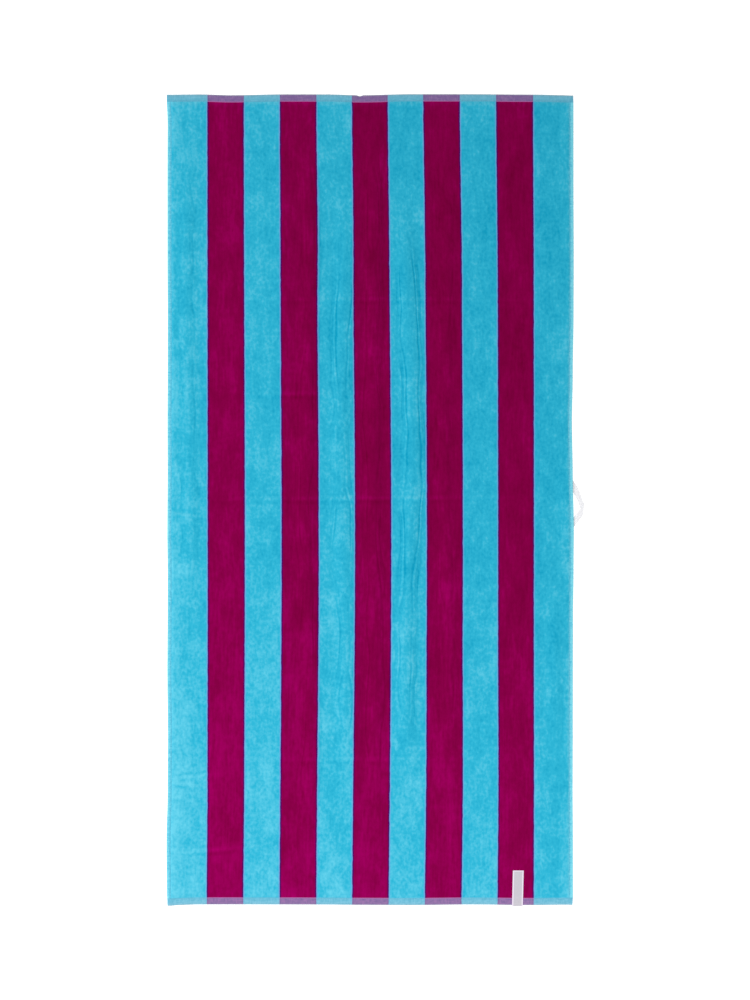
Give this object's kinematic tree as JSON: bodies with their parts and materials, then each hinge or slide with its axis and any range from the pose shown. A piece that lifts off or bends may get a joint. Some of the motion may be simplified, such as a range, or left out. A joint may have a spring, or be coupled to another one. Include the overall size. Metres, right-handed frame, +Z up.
{
  "type": "bath towel",
  "caption": "Large rectangular velour towel with lengthwise stripes, flat hems, a folded tape loop at one side and a ribbon label, laid out flat with its face up.",
  "frame": {"origin": "on the ground, under the middle of the box that holds the towel, its loop and its label", "axes": "+Z up, out of the towel's face; +Y along the towel's length, away from the end with the label; +X across the towel, towards the side with the loop"},
  "size_m": [0.9276, 1.8042, 0.0069],
  "materials": {
    "striped_velour": "cut pile with lengthwise stripes of turquoise and magenta, flat woven hems",
    "cotton_tape": "flat herringbone tape, off-white",
    "satin_ribbon": "white woven satin, bare"
  },
  "bodies": {
    "root": {"towel_cloth": "striped_velour", "hanging_loop": "cotton_tape", "ribbon_label": "satin_ribbon"}
  },
  "joints": []
}
